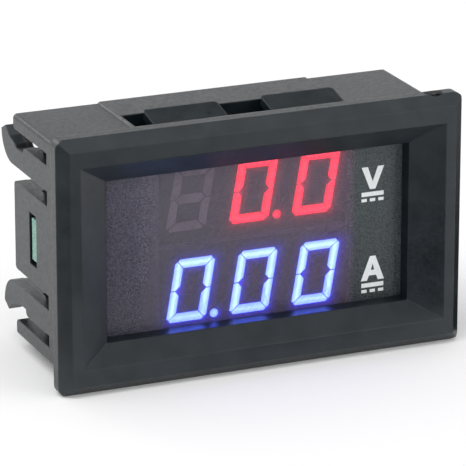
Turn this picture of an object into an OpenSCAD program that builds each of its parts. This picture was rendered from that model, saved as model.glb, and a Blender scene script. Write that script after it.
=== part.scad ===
// Digital panel meter: two three-digit LED displays, volts over amps, behind a
// smoked window in a snap-in housing, with the measuring board behind them.
// Origin: centre of the bezel's rear face, which lies on the panel.
// +X to the right as the meter is read, +Y into the panel, +Z up. Millimetres.

/* [Bezel] */
// Width of the bezel
bezel_w = 48; // [47:0.5:60]
// Height of the bezel
bezel_h = 29; // [28:0.5:40]
// Thickness of the bezel in front of the panel
bezel_t = 2.7; // [2.4:0.1:4]
// Corner radius of the bezel
bezel_r = 1; // [0.5:0.1:2]
// Width of the outer bevel, seen from the front
bevel_in = 1.2; // [0.6:0.1:1.8]
// Depth of the outer bevel, seen from the side
bevel_back = 1.3; // [0.6:0.1:1.8]
// Width of the flat rim at the left and right
rim_side = 1.2; // [0.6:0.1:1.6]
// Width of the flat rim at the top and bottom
rim_top = 1.85; // [1:0.05:2.2]

/* [Window] */
// Width of the window
window_w = 36; // [32:0.5:38]
// Height of the window
window_h = 18.4; // [17:0.2:20]
// Depth of the sloped frame from the rim to the window's edge
slope_back = 2.05; // [1:0.05:2.4]
// Depth from the rim to the seat of the smoked window
seat_depth = 3.8; // [3:0.1:5]
// Thickness of the smoked window
filter_t = 0.5; // [0.3:0.1:1]
// Gap round the smoked window and round the board
loose_fit = 0.2; // [0.1:0.05:0.4]

/* [Body] */
// Width of the body that passes through the panel
body_w = 45.3; // [44.5:0.1:46]
// Height of the body that passes through the panel
body_h = 25.8; // [25:0.1:26.5]
// Depth of the body behind the panel's face
body_d = 15.3; // [14.4:0.1:20]
// Corner radius of the body
body_r = 0.5; // [0.3:0.1:1]
// Wall of the body
wall = 1.4; // [1.1:0.1:1.6]
// How far the body and window sit below the bezel's centre
core_drop = 0.14; // [0:0.02:0.3]
// Width of the raised band along the top and bottom walls
band_w = 25; // [24.6:0.2:28]
// Height of the raised band
band_t = 0.2; // [0.1:0.05:0.4]

/* [Side clips] */
// Depth behind the panel's face at which the side slots start
slot_from = 4.9; // [4:0.1:7]
// Height of the middle tongue of each side wall
tongue_h = 10.2; // [9:0.1:10.8]
// Width of the slots beside the middle tongue
inner_slot = 1.75; // [1.4:0.05:1.8]
// Height of each clip arm
arm_h = 2.9; // [2.4:0.05:3]
// Width of the slots outside the clip arms
outer_slot = 1.4; // [0.9:0.05:1.45]
// How far the clip arms reach behind the body
arm_reach = 3.9; // [2.5:0.1:3.9]
// Radius of the clip arms' rear ends
arm_end_r = 3.3; // [2.5:0.1:3.6]
// Height of the catch at the end of each clip arm
catch_h = 1.05; // [0.6:0.05:1.1]
// Length of the catch behind its crest
catch_d = 1.4; // [0.8:0.1:2]
// Depth of the waist in front of the catch
arm_step = 0.7; // [0.3:0.1:1]
// Distance from the waist's front end to the body's rear edge
arm_step_d = 3.7; // [2.5:0.1:5]
// Radius that leads into the waist
arm_step_r = 0.7; // [0.4:0.1:1.2]
// Corner cut of the middle tongue and the outer walls at the rear
rear_cut = 0.3; // [0.1:0.05:0.4]

/* [Top tongues] */
// Width of each sprung tongue
spring_w = 8.8; // [7:0.1:9]
// Length of each sprung tongue
spring_l = 4; // [3:0.1:4.2]
// Thickness of each sprung tongue
spring_t = 1; // [0.7:0.1:1.1]
// Slope of the sprung tongues in degrees
spring_angle = 13; // [8:1:16]
// Clear length of the opening that holds the tongues
opening_l = 4.4; // [4.3:0.1:6]
// Gap to the left of the left tongue
left_gap = 2.4; // [1:0.1:3]
// Gap between the two tongues
middle_gap = 5.2; // [4:0.1:5.4]
// Offset of the tongues' opening to the right
opening_offset = 0.28; // [0:0.02:0.6]

/* [Displays] */
// Width of each display module
display_w = 22.5; // [22:0.1:23]
// Height of each display module
display_h = 10; // [9.6:0.1:10.3]
// Depth of each display module
display_d = 7; // [6:0.1:8]
// Distance between the centres of the two displays
display_pitch = 10.5; // [10.4:0.05:11]
// Offset of the displays to the right
display_x = 0.25; // [-1:0.05:1]
// Distance between neighbouring digits
digit_pitch = 7.5; // [7.2:0.1:7.6]
// Height of a digit
digit_h = 7.2; // [6.5:0.1:7.4]
// Width of a digit
digit_w = 4.7; // [4.2:0.1:4.9]
// Width of a segment
segment_w = 1; // [0.7:0.05:1.1]
// Gap between neighbouring segments
segment_gap = 0.13; // [0.1:0.01:0.2]
// Slant of the digits in degrees
slant = 10; // [5:1:12]
// Depth of the segments' resin
segment_d = 3; // [1:0.1:4]
// Diameter of a decimal point
point_d = 0.95; // [0.7:0.05:1.1]
// Gap round the resin of a segment
segment_fit = 0.02; // [0.01:0.01:0.04]
// Side wall of a display shell
shell_wall = 0.6; // [0.5:0.05:0.8]
// Thickness of the LED board in the back of a display
led_board_t = 0.8; // [0.6:0.1:1.2]
// Pitch of the display pins
pin_pitch = 2.54; // [2.3:0.02:2.6]
// Distance between the two rows of display pins
pin_rows = 7.62; // [7:0.02:7.9]
// Diameter of a display pin
pin_d = 0.5; // [0.4:0.05:0.6]

/* [Board] */
// Thickness of the circuit board
board_t = 1.6; // [1:0.1:1.8]
// Height of the tabs on the board's ends
tab_h = 4.8; // [3:0.1:5.4]
// How far the tabs lie behind the side walls' outer faces
tab_recess = 0.15; // [0.05:0.05:0.5]
// Gap above and below a tab in its window
tab_gap = 0.6; // [0.2:0.1:1]
// Gap behind a tab in its window
tab_slack = 0.4; // [0.1:0.05:0.6]
// Diameter of a plated hole for a display pin
hole_d = 0.9; // [0.75:0.05:1]
// Running clearance of a trimmer's rotor, on the radius
trim_fit = 0.05; // [0.02:0.01:0.09]

/* [Hidden] */
$fn = 48;

over = 1;                                  // how far cutters run past a face
core_z = -core_drop;
recess_w = bezel_w - 2 * (bevel_in + rim_side);
recess_h = bezel_h - 2 * (bevel_in + rim_top);
seat_y = seat_depth - bezel_t;             // front face of the smoked window
cavity_w = body_w - 2 * wall;
cavity_h = body_h - 2 * wall;
display_y = seat_y + filter_t;             // front faces of the displays
board_y = display_y + display_d;           // front face of the board
board_back = board_y + board_t;
board_w = cavity_w - 2 * loose_fit;
board_h = cavity_h - 2 * loose_fit;
inner_slot_z = tongue_h / 2;               // heights above the bezel's centre
arm_z = inner_slot_z + inner_slot;
outer_slot_z = arm_z + arm_h;
volts_z = core_z + display_pitch / 2;
amps_z = core_z - display_pitch / 2;

black_plastic = [0.07, 0.07, 0.075];
smoke = [0.25, 0.22, 0.28, 0.5];
display_grey = [0.2, 0.19, 0.21];
volts_red = [1, 0.15, 0.25];
amps_blue = [0.6, 0.8, 1];
unlit = [0.4, 0.37, 0.4];
board_green = [0.1, 0.55, 0.35];
led_board_white = [0.85, 0.85, 0.8];
tin = [0.75, 0.75, 0.77];
header_white = [0.9, 0.88, 0.82];
header_black = [0.1, 0.1, 0.1];
chip_black = [0.12, 0.12, 0.13];
copper_alloy = [0.72, 0.5, 0.32];
trimmer_blue = [0.15, 0.35, 0.6];
capacitor_tan = [0.7, 0.58, 0.42];

// ---- helpers ---------------------------------------------------------------

// Carries an outline drawn as seen from the front rearwards from a depth.
module rearward(from, depth) {
    translate([0, from + depth, 0])
        rotate([90, 0, 0])
            linear_extrude(depth)
                children();
}

// Carries an outline drawn in depth and height along X, centred.
module sideways(width) {
    rotate([90, 0, 90])
        linear_extrude(width, center = true)
            children();
}

// A box from its centre in X and Z, its front face and its depth.
module block(x, z, from, w, h, depth) {
    translate([x - w / 2, from, z - h / 2])
        cube([w, depth, h]);
}

// A round bar along Y.
module bar(x, z, from, d, depth) {
    translate([x, from, z])
        rotate([-90, 0, 0])
            cylinder(d = d, h = depth);
}

module rounded_rectangle(w, h, r) {
    square([w - 2 * r, h], center = true);
    square([w, h - 2 * r], center = true);
    for (x = [-1, 1], z = [-1, 1])
        translate([x * (w / 2 - r), z * (h / 2 - r)])
            circle(r);
}

// Draws its children, and their mirror image in the middle plane.
module both_sides() {
    children();
    mirror([1, 0, 0])
        children();
}

// Draws its children at the body's centre line, and mirrored below it.
module top_and_bottom() {
    translate([0, 0, core_z]) {
        children();
        mirror([0, 0, 1])
            children();
    }
}

// ---- housing ---------------------------------------------------------------

// The bezel as a block, bevelled on all four sides with mitred corners.
module bezel_block() {
    bevel_y = bevel_back - bezel_t;
    intersection() {
        rearward(-bezel_t, bezel_t)
            rounded_rectangle(bezel_w, bezel_h, bezel_r);
        linear_extrude(bezel_h, center = true)
            polygon([[-bezel_w / 2, 0], [-bezel_w / 2, bevel_y],
                     [bevel_in - bezel_w / 2, -bezel_t],
                     [bezel_w / 2 - bevel_in, -bezel_t],
                     [bezel_w / 2, bevel_y], [bezel_w / 2, 0]]);
        sideways(bezel_w)
            polygon([[0, -bezel_h / 2], [bevel_y, -bezel_h / 2],
                     [-bezel_t, bevel_in - bezel_h / 2],
                     [-bezel_t, bezel_h / 2 - bevel_in],
                     [bevel_y, bezel_h / 2], [0, bezel_h / 2]]);
    }
}

// The sloped picture frame round the window: two wedges meet in its mitres.
module recess_cutter() {
    front = -bezel_t;
    edge = slope_back - bezel_t;
    side_run = (recess_w - window_w) / 2 / slope_back * over;
    top_run = (recess_h / 2 - core_z - window_h / 2) / slope_back * over;
    bottom_run = (recess_h / 2 + core_z - window_h / 2) / slope_back * over;
    intersection() {
        linear_extrude(bezel_h, center = true)
            polygon([[-window_w / 2, edge], [window_w / 2, edge],
                     [recess_w / 2 + side_run, front - over],
                     [-recess_w / 2 - side_run, front - over]]);
        sideways(bezel_w)
            polygon([[edge, core_z - window_h / 2],
                     [edge, core_z + window_h / 2],
                     [front - over, recess_h / 2 + top_run],
                     [front - over, -recess_h / 2 - bottom_run]]);
    }
}

// The straight-walled window behind the slope, and the body's hollow.
module hollow_cutter() {
    translate([0, 0, core_z]) {
        rearward(slope_back - bezel_t - 0.01, seat_depth)
            square([window_w, window_h], center = true);
        rearward(seat_y, body_d)
            square([cavity_w, cavity_h], center = true);
    }
}

// The raised band along the top wall, with sloped sides.
module top_band() {
    rearward(-bezel_t / 2, bezel_t / 2 + body_d)
        polygon([[-band_w / 2 - band_t, body_h / 2 - band_t],
                 [-band_w / 2 - band_t, body_h / 2],
                 [-band_w / 2, body_h / 2 + band_t],
                 [band_w / 2, body_h / 2 + band_t],
                 [band_w / 2 + band_t, body_h / 2],
                 [band_w / 2 + band_t, body_h / 2 - band_t]]);
}

// Left edge of the opening that holds the two sprung tongues.
function opening_x() = opening_offset - (left_gap + middle_gap + 2 * spring_w) / 2;

// The opening in the top wall.
module top_opening() {
    opening_w = left_gap + middle_gap + 2 * spring_w;
    translate([opening_x(), slot_from, body_h / 2 - wall - over])
        cube([opening_w, opening_l, wall + 2 * over]);
}

// A sprung tongue: rooted at the front, rising to its free rear end.
module top_tongue(x) {
    root = 0.6;
    corner = 0.5;
    translate([x, slot_from, body_h / 2 - 0.15])
        rotate([spring_angle, 0, 0])
            translate([0, 0, -spring_t])
                linear_extrude(spring_t) {
                    translate([0, -root])
                        square([spring_w, spring_l + root - corner]);
                    translate([corner, 0])
                        square([spring_w - 2 * corner, spring_l]);
                    for (cx = [corner, spring_w - corner])
                        translate([cx, spring_l - corner])
                            circle(corner);
                }
}

// The two openings of a side wall, open to the rear, that leave the middle
// tongue between them. Their rear corners are cut.
module side_openings() {
    low = inner_slot_z;
    high = outer_slot_z + outer_slot;
    flare = rear_cut + over;
    cut_y = body_d - rear_cut;
    for (up = [-1, 1])
        translate([body_w / 2 - wall / 2, 0, 0])
            sideways(wall + 2 * over)
                polygon([[slot_from, up * low], [cut_y, up * low], [body_d + over, up * (low - flare)],
                         [body_d + over, up * (high + flare)], [cut_y, up * high],
                         [slot_from, up * high]]);
}

// The window in the middle tongue that holds the board's tab.
module tab_window() {
    slack = 0.1;
    block(body_w / 2, core_z, board_y - slack, 2 * wall + 2 * over,
          tab_h + 2 * tab_gap, board_t + slack + tab_slack);
}

// A clip arm in depth and height, from its inner edge: a straight root, a waist
// led in by a round, and a catch whose rear end is one large arc.
module arm_outline() {
    root = 0.6;                            // how far it is rooted in the wall
    throat = [1.1, 0.85];                  // foot of the catch's front, and its height
    ramp = [1.7, 0.45];                    // gentler slope in front of it
    toe = 0.6;
    end_y = body_d + arm_reach;
    crest = [end_y - catch_d, arm_h + catch_h];
    waist_y = body_d - arm_step_d;
    waist = arm_h - arm_step;
    intersection() {
        union() {
            translate([slot_from - root, 0])
                square([end_y - arm_end_r - slot_from + root, crest[1]]);
            translate([end_y - arm_end_r, arm_end_r])
                circle(arm_end_r, $fn = 96);
        }
        union() {
            polygon([[slot_from - root, 0], [end_y, 0], [end_y, crest[1] - catch_d / 2], crest,
                     [crest[0] - throat[0], waist + throat[1]],
                     [crest[0] - throat[0] - ramp[0], waist + throat[1] - ramp[1]],
                     [crest[0] - throat[0] - ramp[0] - toe, waist],
                     [waist_y, waist], [waist_y, arm_h], [slot_from - root, arm_h]]);
            translate([waist_y, arm_h - arm_step_r])
                circle(arm_step_r);
        }
    }
}

// The two clip arms of a side wall, flush with it inside and outside.
module clip_arms() {
    for (up = [0, 1])
        mirror([0, 0, up])
            translate([body_w / 2 - wall / 2, 0, arm_z])
                sideways(wall)
                    arm_outline();
}

module housing() {
    color(black_plastic) {
        difference() {
            union() {
                bezel_block();
                translate([0, 0, core_z])
                    rearward(-bezel_t / 2, bezel_t / 2 + body_d)
                        rounded_rectangle(body_w, body_h, body_r);
                top_and_bottom()
                    top_band();
            }
            recess_cutter();
            hollow_cutter();
            top_and_bottom()
                top_opening();
            both_sides() {
                side_openings();
                tab_window();
            }
        }
        both_sides()
            clip_arms();
        top_and_bottom() {
            top_tongue(opening_x() + left_gap);
            top_tongue(opening_x() + left_gap + spring_w + middle_gap);
        }
    }
}

// The smoked window: a thin sheet that lies on the seat behind the bezel.
module smoked_window() {
    color(smoke)
        block(0, core_z, seat_y, cavity_w - 2 * loose_fit, cavity_h - 2 * loose_fit, filter_t);
}

// ---- displays --------------------------------------------------------------

// Leans a point of an upright digit over to the right.
function lean(p) = [p[0] + p[1] * tan(slant), p[1]];

// Outline of the top segment of an upright digit. The digit grows by fit all
// round and its gaps shrink by as much, so openings and resin share it.
function top_segment(fit) =
    let (w = digit_w / 2 + fit, h = digit_h / 2 + fit, t = segment_w + 2 * fit,
         gap = segment_gap / 2 - fit, cut = 0.5)
    [[cut - w, h], [w - cut, h], [w - cut / 2 - gap, h - cut / 2], [w - t - gap, h - t],
     [t + gap - w, h - t], [cut / 2 + gap - w, h - cut / 2]];

// Outline of the upper right segment of an upright digit.
function upper_segment(fit) =
    let (w = digit_w / 2 + fit, h = digit_h / 2 + fit, t = segment_w + 2 * fit,
         gap = segment_gap / 2 - fit, cut = 0.5)
    [[w - cut / 2, h - cut / 2 - gap], [w, h - cut], [w, gap], [w - t / 2, gap],
     [w - t, t / 2 + gap], [w - t, h - t - gap]];

// Outline of the middle segment of an upright digit.
function middle_segment(fit) =
    let (w = digit_w / 2 + fit, t = segment_w / 2 + fit, gap = segment_gap - fit)
    [[t + gap - w, 0], [2 * t + gap - w, t], [w - 2 * t - gap, t],
     [w - t - gap, 0], [w - 2 * t - gap, -t], [2 * t + gap - w, -t]];

// The outline of one segment, named by its usual letter, with p the point.
module segment(letter, fit) {
    flip_x = (letter == "e" || letter == "f") ? -1 : 1;
    flip_z = (letter == "c" || letter == "d" || letter == "e") ? -1 : 1;
    outline = letter == "g" ? middle_segment(fit)
            : (letter == "a" || letter == "d") ? top_segment(fit)
            : upper_segment(fit);
    if (letter == "p")
        translate([digit_w / 2 + 0.4, (point_d - digit_h) / 2])
            circle(d = point_d + 2 * fit);
    else
        polygon([for (p = outline) lean([flip_x * p[0], flip_z * p[1]])]);
}

// The resin of the named segments of the three digits, one list a digit.
module resin(centre_z, digits, fit, from, depth) {
    for (i = [0:2])
        for (letter = digits[i])
            translate([display_x + (i - 1) * digit_pitch, 0, centre_z])
                rearward(from, depth)
                    segment(letter, fit);
}

ALL_SEGMENTS = ["a", "b", "c", "d", "e", "f", "g", "p"];
ZERO = ["a", "b", "c", "d", "e", "f"];
NOT_ZERO = ["g", "p"];

// A display's shell: open at the back, with an opening for every segment.
module display_shell(centre_z) {
    color(display_grey)
        difference() {
            block(display_x, centre_z, display_y, display_w, display_h, display_d);
            block(display_x, centre_z, display_y + segment_d, display_w - 2 * shell_wall,
                  display_h - 2 * shell_wall, display_d);
            resin(centre_z, [ALL_SEGMENTS, ALL_SEGMENTS, ALL_SEGMENTS], segment_fit,
                  display_y - over, segment_d + 2 * over);
        }
}

// The small board in the back of a display that carries its LEDs and pins.
module led_board(centre_z) {
    die = 0.4;
    color(led_board_white) {
        difference() {
            block(display_x, centre_z, board_y - led_board_t,
                  display_w - 2 * shell_wall - 2 * segment_fit,
                  display_h - 2 * shell_wall - 2 * segment_fit, led_board_t);
            display_pins_at(centre_z)
                bar(0, 0, board_y - led_board_t - over, pin_d + 0.1, led_board_t + 2 * over);
        }
        for (i = [-1:1], x = [-1, 1], z = [-1, 1])
            block(display_x + i * digit_pitch + x * (digit_w - segment_w) / 2,
                  centre_z + z * digit_h / 4, board_y - led_board_t - die / 2,
                  die, die, die / 2);
    }
}

// Puts its children at each of the twelve pins of a display.
module display_pins_at(centre_z) {
    for (i = [-2.5:2.5], row = [-1, 1])
        translate([display_x + i * pin_pitch, 0, centre_z + row * pin_rows / 2])
            children();
}

module display_pins(centre_z) {
    tail = 1.1;
    color(tin)
        display_pins_at(centre_z)
            bar(0, 0, board_y - led_board_t, pin_d, led_board_t + board_t + tail);
}

module volts_segments_lit() {
    color(volts_red)
        resin(volts_z, [[], concat(ZERO, ["p"]), ZERO], 0, display_y, segment_d);
}

module volts_segments_dark() {
    color(unlit)
        resin(volts_z, [ALL_SEGMENTS, ["g"], NOT_ZERO], 0, display_y, segment_d);
}

module amps_segments_lit() {
    color(amps_blue)
        resin(amps_z, [concat(ZERO, ["p"]), ZERO, ZERO], 0, display_y, segment_d);
}

module amps_segments_dark() {
    color(unlit)
        resin(amps_z, [["g"], NOT_ZERO, NOT_ZERO], 0, display_y, segment_d);
}

// ---- board and what it carries --------------------------------------------

// Places on the board, as [x, z]: what lies near an edge is placed from it.
edge_x = board_w / 2;
edge_z = board_h / 2;
supply_at = [edge_x - 6.05, edge_z - 4.1];
supply_pitch = 2.5;
current_at = [6.45 - edge_x, 6.3 - edge_z];
current_pitch = 3.96;
shunt_at = [5.65 - edge_x, edge_z - 8.1];
shunt_span = 6.6;
micro_at = [edge_x - 6.45, 0.2];
op_amp_at = [display_x, volts_z];
regulator_at = [3.45 - edge_x, edge_z - 2.9];
diode_at = [8.85 - edge_x, edge_z - 2.9];
volts_trimmer_at = [edge_x - 8.85, 4.3 - edge_z];
amps_trimmer_at = [edge_x - 3.45, 4.3 - edge_z];

supply_pin_w = 0.64;
current_pin_w = 1.14;
shunt_wire_d = 1.2;
pin_clear = 0.15;                          // round a pin in its plated hole

module supply_pins_at() {
    for (i = [-1:1])
        translate([supply_at[0] + i * supply_pitch, 0, supply_at[1]])
            children();
}

module current_pins_at() {
    for (i = [-0.5, 0.5])
        translate([current_at[0] + i * current_pitch, 0, current_at[1]])
            children();
}

module shunt_legs_at() {
    for (side = [-0.5, 0.5])
        translate([shunt_at[0] + side * shunt_span, 0, shunt_at[1]])
            children();
}

// The board, with a tab on each end that shows in the side wall's window.
module circuit_board() {
    tab_reach = body_w / 2 - tab_recess;
    from = board_y - over;
    depth = board_t + 2 * over;
    color(board_green)
        difference() {
            translate([0, 0, core_z])
                rearward(board_y, board_t) {
                    rounded_rectangle(board_w, board_h, body_r);
                    square([2 * tab_reach, tab_h], center = true);
                }
            for (z = [volts_z, amps_z])
                display_pins_at(z)
                    bar(0, 0, from, hole_d, depth);
            supply_pins_at()
                bar(0, 0, from, supply_pin_w * sqrt(2) + 2 * pin_clear, depth);
            current_pins_at()
                bar(0, 0, from, current_pin_w * sqrt(2) + 2 * pin_clear, depth);
            shunt_legs_at()
                bar(0, 0, from, shunt_wire_d + 2 * pin_clear, depth);
        }
}

// One cone of solder round a pin, on the rear face of the board.
module solder_cone(hole) {
    foot = hole / 2 + 0.3;
    height = 0.7;
    bore = pin_d / 2 + 0.02;
    translate([0, board_back, 0])
        rotate([-90, 0, 0])
            difference() {
                cylinder(r1 = foot, r2 = bore + 0.12, h = height);
                translate([0, 0, -over])
                    cylinder(r = bore, h = height + 2 * over);
            }
}

module solder_joints() {
    color(tin)
        for (z = [volts_z, amps_z])
            display_pins_at(z)
                solder_cone(hole_d);
}

// A shrouded header: a tray with a row of pins and two keying slots.
module supply_header() {
    end_w = 2.45;                          // beyond the outer pins
    w = 2 * supply_pitch + 2 * end_w;
    h = 5.75;
    tall = 7;
    skin = 0.7;
    floor_t = 1.8;
    slot = 1.2;
    key_from = 2.6;
    color(header_white)
        difference() {
            block(supply_at[0], supply_at[1], board_back, w, h, tall);
            block(supply_at[0], supply_at[1], board_back + floor_t, w - 2 * skin,
                  h - 2 * skin, tall);
            for (side = [-1, 1])
                block(supply_at[0] + side * supply_pitch, supply_at[1] - h / 2,
                      board_back + key_from, slot, 2 * skin + 1, tall);
            supply_pins_at()
                block(0, 0, board_back - over, supply_pin_w + 0.04, supply_pin_w + 0.04,
                      tall);
        }
}

// The pins end level with the board's front face, clear of the displays.
module supply_header_pins() {
    reach = 5.4;
    color(tin)
        supply_pins_at()
            block(0, 0, board_y, supply_pin_w, supply_pin_w, board_t + reach);
}

// A friction-lock header: a low base with a tall latch wall behind the pins.
module current_header() {
    w = 2 * current_pitch;
    h = 7.6;
    base_t = 3.2;
    wall_t = 1.1;
    tall = 9;
    latch = [w - 2, 1.2, 0.9];
    groove = [1.6, 1.4];
    color(header_black)
        difference() {
            union() {
                block(current_at[0], current_at[1], board_back, w, h, base_t);
                block(current_at[0], current_at[1] - (h - wall_t) / 2, board_back,
                      w, wall_t, tall);
                block(current_at[0], current_at[1] - h / 2 + wall_t,
                      board_back + tall - latch[2] - 0.5, latch[0], latch[1], latch[2]);
            }
            for (side = [-1, 1])
                block(current_at[0] + side * current_pitch / 2, current_at[1] + h / 2,
                      board_back + 1.2, groove[0], groove[1], base_t);
            current_pins_at()
                block(0, 0, board_back - over, current_pin_w + 0.04, current_pin_w + 0.04,
                      tall);
        }
}

module current_header_pins() {
    reach = 7.4;
    color(tin)
        current_pins_at()
            block(0, 0, board_y, current_pin_w, current_pin_w, board_t + reach);
}

// The shunt: a thick wire bent to a staple, its legs through the board.
module current_shunt() {
    bend = 1.2;
    rise = 2.6;
    top = board_back + rise;
    leg_x = shunt_span / 2;
    color(copper_alloy)
        translate([shunt_at[0], 0, shunt_at[1]]) {
            for (side = [0, 1])
                mirror([side, 0, 0]) {
                    translate([leg_x, board_y, 0])
                        rotate([-90, 0, 0])
                            cylinder(d = shunt_wire_d, h = top - bend - board_y);
                    translate([leg_x - bend, top - bend, 0])
                        rotate_extrude(angle = 90)
                            translate([bend, 0])
                                circle(d = shunt_wire_d);
                }
            translate([bend - leg_x, top, 0])
                rotate([0, 90, 0])
                    cylinder(d = shunt_wire_d, h = shunt_span - 2 * bend);
        }
}

// A chip's moulded body: a block whose four sides draw in above the leads.
module chip_body(at, w, h, tall) {
    stand_off = 0.1;
    draw = 0.12;
    base = board_back + stand_off;
    mid = base + tall / 2;
    top = base + tall;
    translate([at[0], 0, at[1]])
        intersection() {
            linear_extrude(h, center = true)
                polygon([[draw - w / 2, base], [-w / 2, mid], [draw - w / 2, top],
                         [w / 2 - draw, top], [w / 2, mid], [w / 2 - draw, base]]);
            sideways(w)
                polygon([[base, draw - h / 2], [mid, -h / 2], [top, draw - h / 2],
                         [top, h / 2 - draw], [mid, h / 2], [base, h / 2 - draw]]);
        }
}

// A row of gull-wing leads on both long sides. It runs along X, or with turned
// along Z.
module gull_leads(at, body, span, count, pitch, lead_w, tall, turned) {
    t = 0.15;
    foot = 0.5;
    mid = 0.1 + tall / 2;
    reach = span / 2;
    translate([at[0], board_back, at[1]])
        rotate([0, turned ? 90 : 0, 0])
            for (side = [0, 1], i = [0:count - 1])
                mirror([0, 0, side])
                    translate([(i - (count - 1) / 2) * pitch, 0, 0])
                        sideways(lead_w)
                            polygon([[0, reach], [0, reach - foot],
                                     [mid - t, body / 2 + t], [mid - t, body / 2],
                                     [mid, body / 2], [mid, body / 2 + 2 * t],
                                     [t, reach - foot + t / 2], [t, reach]]);
}

// Width, height and thickness of each chip's body, and the span of its leads
micro_size = [6.5, 4.4, 1];
micro_span = micro_size[1] + 2;
op_amp_size = [3.9, 4.9, 1.4];
op_amp_span = op_amp_size[0] + 2.1;
regulator_size = [4.5, 2.5, 1.15];
regulator_lead_t = 0.35;
diode_size = [4.3, 2.6, 2];
diode_terminal = [1.1, 1.5, 0.2];

module microcontroller() {
    color(chip_black)
        chip_body(micro_at, micro_size[0], micro_size[1], micro_size[2]);
}

module microcontroller_leads() {
    color(tin)
        gull_leads(micro_at, micro_size[1], micro_span, 10, 0.65, 0.25, micro_size[2], false);
}

module op_amp() {
    color(chip_black)
        chip_body(op_amp_at, op_amp_size[0], op_amp_size[1], op_amp_size[2]);
}

module op_amp_leads() {
    color(tin)
        gull_leads(op_amp_at, op_amp_size[0], op_amp_span, 4, 1.27, 0.42, op_amp_size[2], true);
}

module voltage_regulator() {
    color(chip_black)
        block(regulator_at[0], regulator_at[1], board_back + regulator_lead_t,
              regulator_size[0], regulator_size[1], regulator_size[2]);
}

// Three short leads and the wide heat tab on the other side.
module voltage_regulator_leads() {
    pitch = 1.5;
    lead = [0.5, 1.8];
    heat_tab = [1.8, 1.4];
    color(tin) {
        for (i = [-1:1])
            block(regulator_at[0] + i * pitch, regulator_at[1] - regulator_size[1] / 2,
                  board_back, lead[0], lead[1], regulator_lead_t);
        block(regulator_at[0], regulator_at[1] + regulator_size[1] / 2, board_back,
              heat_tab[0], heat_tab[1], regulator_lead_t);
    }
}

module input_diode() {
    color(chip_black)
        block(diode_at[0], diode_at[1], board_back + diode_terminal[2], diode_size[0],
              diode_size[1], diode_size[2]);
}

module input_diode_terminals() {
    color(tin)
        for (side = [-1, 1])
            block(diode_at[0] + side * diode_size[0] / 2, diode_at[1], board_back,
                  diode_terminal[0], diode_terminal[1], diode_terminal[2]);
}

// ---- trimmers --------------------------------------------------------------

trimmer_w = 3.8;
trimmer_t = 1.4;
rotor_d = 2.9;
rotor_t = 0.8;
rotor_pin_d = 1.2;
rotor_pin_l = 0.9;
rotor_gap = 0.05;                          // between the rotor and the base

module trimmer_base(at) {
    color(trimmer_blue)
        difference() {
            block(at[0], at[1], board_back, trimmer_w, trimmer_w, trimmer_t);
            bar(at[0], at[1], board_back + trimmer_t - rotor_pin_l - rotor_gap,
                rotor_pin_d + 2 * trim_fit, trimmer_t);
        }
}

// The rotor: a disc with a cross slot, on a short pin in the base's bore.
module trimmer_rotor(at) {
    seat = board_back + trimmer_t + rotor_gap;
    slot_w = 0.5;
    slot_d = 0.4;
    color(tin)
        difference() {
            union() {
                bar(at[0], at[1], seat - rotor_pin_l, rotor_pin_d, rotor_pin_l + rotor_t / 2);
                bar(at[0], at[1], seat, rotor_d, rotor_t);
            }
            block(at[0], at[1], seat + rotor_t - slot_d, slot_w, 2.1, rotor_t);
            block(at[0], at[1], seat + rotor_t - slot_d, 2.1, slot_w, rotor_t);
        }
}

// Two solder tabs at the foot of each trimmer and one at its head.
module trimmer_terminals() {
    t = 0.3;
    tab = [0.9, 0.7];
    color(tin)
        for (at = [volts_trimmer_at, amps_trimmer_at]) {
            for (side = [-1, 1])
                block(at[0] + side * 1.2, at[1] - (trimmer_w + tab[1]) / 2, board_back,
                      tab[0], tab[1], t);
            block(at[0], at[1] + (trimmer_w + tab[1]) / 2, board_back, tab[0], tab[1], t);
        }
}

// ---- chip resistors and capacitors -----------------------------------------

// Each is [x, z, turned], where a turned chip lies along Z.
resistors_at = [[-4.4, 7.2, true], [-4.4, 4.8, true], [-4.4, 2.6, true],
                [4.9, 7.2, true], [4.9, 4.8, true], [4.9, 2.6, true],
                [-4.4, -3.6, false], [-2, -3.6, false], [0.4, -3.6, false],
                [2.8, -3.6, false], [5.2, -3.6, false],
                [-4.4, -7.2, false], [-2, -7.2, false], [5.2, -7.2, false]];
capacitors_at = [[-3.6, -5.4, false], [0.4, -5.4, false], [4.4, -5.4, false],
                 [micro_at[0], micro_at[1] - 3.95, false], [-8.6, 5.2, true],
                 [1.8, -7.3, false]];
resistor_size = [1.6, 0.8, 0.45];
capacitor_size = [2, 1.2, 0.9];

// Puts its children, drawn along X, at each chip of a list.
module chips_at(places) {
    for (p = places)
        translate([p[0], board_back, p[1]])
            rotate([0, p[2] ? 90 : 0, 0])
                children();
}

module chip_middle(size, cap) {
    translate([cap - size[0] / 2, 0, -size[1] / 2])
        cube([size[0] - 2 * cap, size[2], size[1]]);
}

module chip_ends(size, cap) {
    for (x = [-size[0] / 2, size[0] / 2 - cap])
        translate([x, 0, -size[1] / 2])
            cube([cap, size[2], size[1]]);
}

module chip_resistors() {
    color(chip_black)
        chips_at(resistors_at)
            chip_middle(resistor_size, 0.3);
}

module chip_resistor_ends() {
    color(tin)
        chips_at(resistors_at)
            chip_ends(resistor_size, 0.3);
}

module chip_capacitors() {
    color(capacitor_tan)
        chips_at(capacitors_at)
            chip_middle(capacitor_size, 0.4);
}

module chip_capacitor_ends() {
    color(tin)
        chips_at(capacitors_at)
            chip_ends(capacitor_size, 0.4);
}

// ---- the meter -------------------------------------------------------------

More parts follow.
